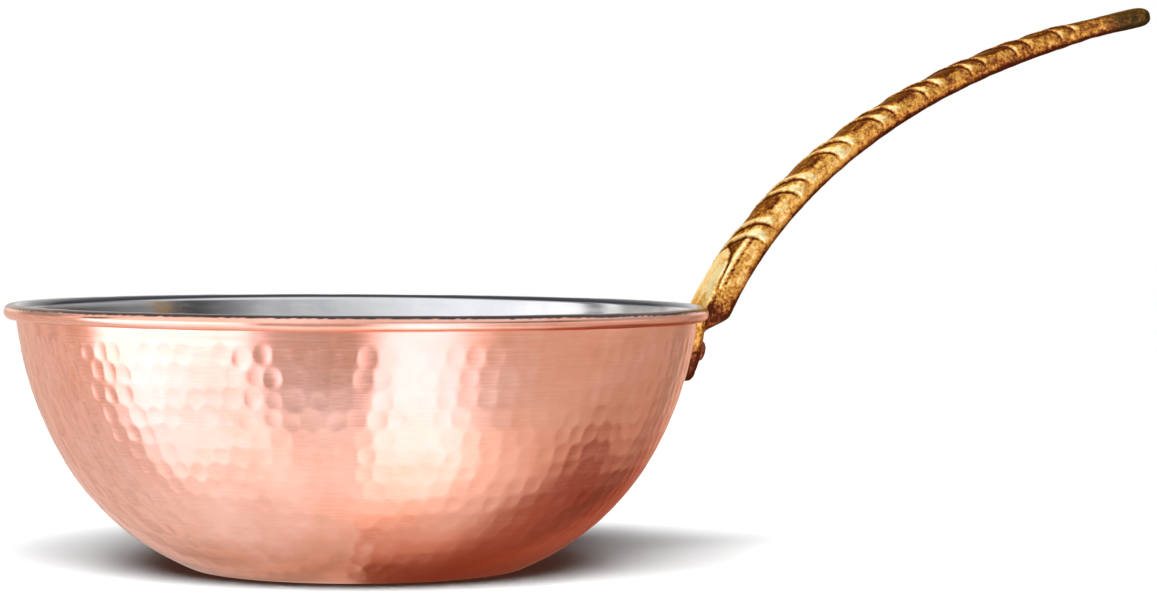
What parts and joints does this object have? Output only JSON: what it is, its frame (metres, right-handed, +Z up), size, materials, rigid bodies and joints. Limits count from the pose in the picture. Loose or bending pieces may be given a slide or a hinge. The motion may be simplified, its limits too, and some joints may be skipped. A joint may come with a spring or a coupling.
{
  "type": "hammered copper pan",
  "caption": "Round-bottomed hammered copper pan with a tinned inside, a wired rolled rim and a long twisted cast brass handle riveted to the wall.",
  "frame": {"origin": "centre of the flat base, on its underside", "axes": "+Z up out of the bowl, +X out along the handle, XZ is the handle's plane of symmetry"},
  "size_m": [0.4305, 0.25, 0.2054],
  "materials": {
    "copper": "hammered and brushed copper",
    "tin": "wiped tin lining",
    "cast_brass": "rough cast brass with dark patina in the hollows",
    "rivet_copper": "hammered copper, darkened",
    "steel_wire": "drawn wire"
  },
  "bodies": {
    "root": {"bowl_shell": "copper", "rim_wire": "steel_wire", "tin_lining": "tin", "handle": "cast_brass", "rivet_front": "rivet_copper", "rivet_back": "rivet_copper", "rivet_lower": "rivet_copper"}
  },
  "joints": []
}
